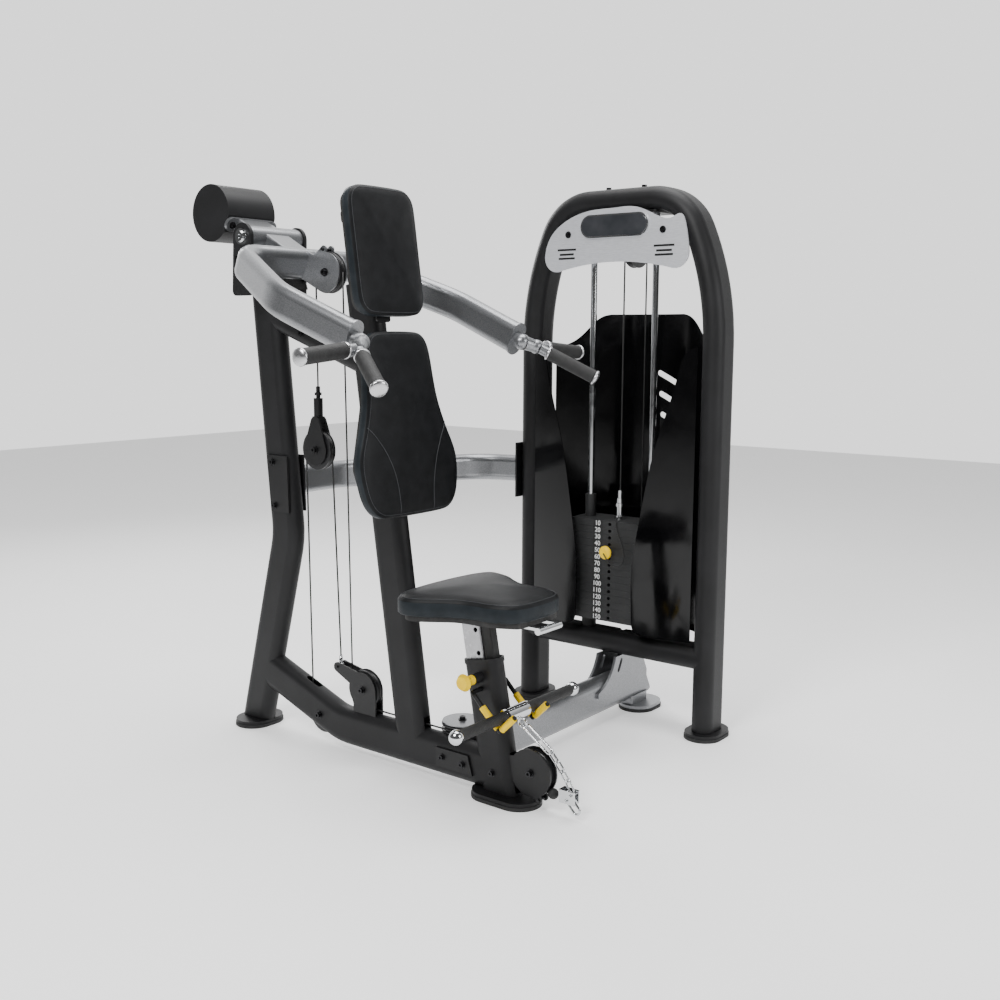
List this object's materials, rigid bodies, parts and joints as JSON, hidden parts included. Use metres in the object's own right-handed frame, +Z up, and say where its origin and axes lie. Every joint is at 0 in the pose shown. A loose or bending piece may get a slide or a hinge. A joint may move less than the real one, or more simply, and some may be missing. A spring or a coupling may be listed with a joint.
{
  "type": "shoulder press machine with low pulley",
  "caption": "Seated overhead press machine with lever arm, counterweight, pin-selected plate stack in an arched tower, adjustable seat, back pads and a low cable pulley with bar.",
  "frame": {"origin": "bottom centre of the whole machine's bounding box, on the floor", "axes": "+X the way the seated user faces, +Y from the spine frame towards the weight tower, +Z up"},
  "size_m": [1.348, 1.4992, 1.6384],
  "materials": {
    "painted_black": "fine-textured matte black powder coat",
    "painted_silver": "silver metallic paint, satin",
    "chrome": "polished chrome plate",
    "steel": "plain bright steel",
    "rubber": "matte black rubber",
    "vinyl": "black grained vinyl upholstery",
    "board": "black-stained plywood",
    "plastic": "glossy black moulded sheet",
    "nylon": "black nylon",
    "yellow": "yellow moulded plastic",
    "iron": "dark grey enamelled plate",
    "placard_metal": "brushed light metal panel",
    "cable_jacket": "black jacketed cable"
  },
  "bodies": {
    "frame": {"rear_upright": "painted_black", "base_tube": "painted_black", "back_post": "painted_black", "cross_member": "painted_black", "pivot_bracket": "painted_black", "seat_column": "painted_black", "mid_link_tube": "painted_silver", "frame_brackets": "painted_black", "link_beam": "painted_silver", "link_beam_plates": "painted_silver", "tower_arch": "painted_black", "tower_rail": "painted_black", "foot_plates": "painted_black", "foot_soles": "rubber", "shrouds": "plastic", "placard": "placard_metal", "guide_rods": "chrome", "rubber_stops": "rubber", "lower_plates": "iron", "head_pad": "vinyl", "back_pad": "vinyl", "pad_boards": "board", "bar_hooks": "painted_black", "hook_sleeves": "yellow", "pivot_shaft": "steel", "frame_bolts": "steel", "main_cable": "cable_jacket", "low_cable": "cable_jacket"},
    "arm": {"pivot_tube": "painted_silver", "press_arm_tube": "painted_silver", "arm_handles": "painted_silver", "handle_grips": "rubber", "grip_caps": "chrome", "counterweight": "painted_black", "arm_brackets": "painted_silver", "arm_bolts": "steel"},
    "arm_wheel": {"arm_pulley": "nylon"},
    "spine_wheel": {"spine_pulley": "nylon"},
    "corner_wheel": {"corner_pulley": "nylon"},
    "tower_wheel": {"tower_pulley": "nylon"},
    "top_wheel": {"top_pulley": "nylon"},
    "floating_wheel": {"floating_pulley": "nylon"},
    "rear_low_wheel": {"rear_low_pulley": "nylon"},
    "front_low_wheel": {"front_low_pulley": "nylon"},
    "cable_wrap": {"arm_cable_wrap": "cable_jacket"},
    "carriage": {"floating_housing": "painted_black"},
    "stack": {"selected_plates": "iron", "selector_rod": "chrome", "lanyard": "rubber"},
    "selector": {"selector_pin": "yellow"},
    "seat": {"seat_pad": "vinyl", "seat_board": "board", "seat_post": "chrome", "seat_handle": "chrome"},
    "seat_latch": {"seat_pin": "yellow"},
    "low_pull": {"ball_stop": "nylon", "pull_chain": "chrome", "bar_swivel": "chrome"},
    "bar": {"low_bar": "chrome", "bar_grips": "rubber"}
  },
  "joints": [
    {"name": "press_arm", "type": "hinge", "parent": "frame", "child": "arm", "pos_m": [-0.432, -0.19939, 1.468], "axis": [0, -1, 0], "range_deg": [0, 45], "deforming": ["main_cable"]},
    {"name": "stack_lift", "type": "slide", "parent": "frame", "child": "stack", "axis": [0, 0, 1], "range_m": [0, 0.4], "deforming": ["main_cable"]},
    {"name": "selector_pull", "type": "slide", "parent": "stack", "child": "selector", "axis": [0, -1, 0], "range_m": [0, 0.085], "deforming": ["lanyard"]},
    {"name": "arm_pulley_spin", "type": "hinge", "parent": "arm", "child": "arm_wheel", "pos_m": [-0.193, -0.19939, 1.366], "axis": [0, -1, 0], "range_deg": [0, 170]},
    {"name": "cable_wrap_turn", "type": "hinge", "parent": "arm", "child": "cable_wrap", "pos_m": [-0.193, -0.19939, 1.366], "axis": [0, -1, 0], "range_deg": [-45, 0]},
    {"name": "spine_pulley_spin", "type": "hinge", "parent": "frame", "child": "spine_wheel", "pos_m": [-0.071, -0.19939, 0.196], "axis": [0, 1, 0], "range_deg": [0, 431]},
    {"name": "corner_pulley_spin", "type": "hinge", "parent": "frame", "child": "corner_wheel", "pos_m": [0.243, -0.14639, 0.143], "axis": [0, 0, -1], "range_deg": [0, 431]},
    {"name": "tower_pulley_spin", "type": "hinge", "parent": "frame", "child": "tower_wheel", "pos_m": [0.296, 0.63261, 0.196], "axis": [-1, 0, 0], "range_deg": [0, 431]},
    {"name": "top_pulley_spin", "type": "hinge", "parent": "frame", "child": "top_wheel", "pos_m": [0.296, 0.62111, 1.47], "axis": [-1, 0, 0], "range_deg": [0, 355]},
    {"name": "low_pull_out", "type": "slide", "parent": "frame", "child": "low_pull", "axis": [0.6, 0, 0.8], "range_m": [0, 0.6], "deforming": ["low_cable"]},
    {"name": "carriage_drop", "type": "slide", "parent": "frame", "child": "carriage", "axis": [0, 0, -1], "range_m": [0, 0.3], "deforming": ["low_cable", "main_cable"]},
    {"name": "floating_pulley_spin", "type": "hinge", "parent": "carriage", "child": "floating_wheel", "pos_m": [-0.246, -0.19939, 0.87], "axis": [0, -1, 0], "range_deg": [0, 325]},
    {"name": "rear_low_pulley_spin", "type": "hinge", "parent": "frame", "child": "rear_low_wheel", "pos_m": [-0.236, -0.19939, 0.092], "axis": [0, -1, 0], "range_deg": [0, 649]},
    {"name": "front_low_pulley_spin", "type": "hinge", "parent": "frame", "child": "front_low_wheel", "pos_m": [0.523, -0.19939, 0.096], "axis": [0, -1, 0], "range_deg": [0, 649]},
    {"name": "bar_spin", "type": "hinge", "parent": "low_pull", "child": "bar", "pos_m": [0.464, -0.18939, 0.24], "axis": [0, 1, 0], "continuous": true},
    {"name": "seat_adjust", "type": "slide", "parent": "frame", "child": "seat", "axis": [-0.181, 0, 0.9835], "range_m": [-0.061, 0.061]},
    {"name": "seat_pin_pull", "type": "slide", "parent": "frame", "child": "seat_latch", "axis": [0, -1, 0], "range_m": [0, 0.012], "stiffness_N_per_m": 900}
  ],
  "couplings": [
    {"joint": "stack_lift", "follows": "press_arm", "m_per_rad": 0.506},
    {"joint": "arm_pulley_spin", "follows": "press_arm", "ratio": 3.77},
    {"joint": "cable_wrap_turn", "follows": "press_arm", "ratio": -1},
    {"joint": "spine_pulley_spin", "follows": "press_arm", "ratio": 9.55},
    {"joint": "corner_pulley_spin", "follows": "press_arm", "ratio": 9.55},
    {"joint": "tower_pulley_spin", "follows": "press_arm", "ratio": 9.55},
    {"joint": "top_pulley_spin", "follows": "press_arm", "ratio": 7.85},
    {"joint": "carriage_drop", "follows": "low_pull_out", "ratio": 0.5},
    {"joint": "floating_pulley_spin", "follows": "low_pull_out", "rad_per_m": 9.43},
    {"joint": "rear_low_pulley_spin", "follows": "low_pull_out", "rad_per_m": 18.87},
    {"joint": "front_low_pulley_spin", "follows": "low_pull_out", "rad_per_m": 18.87}
  ]
}
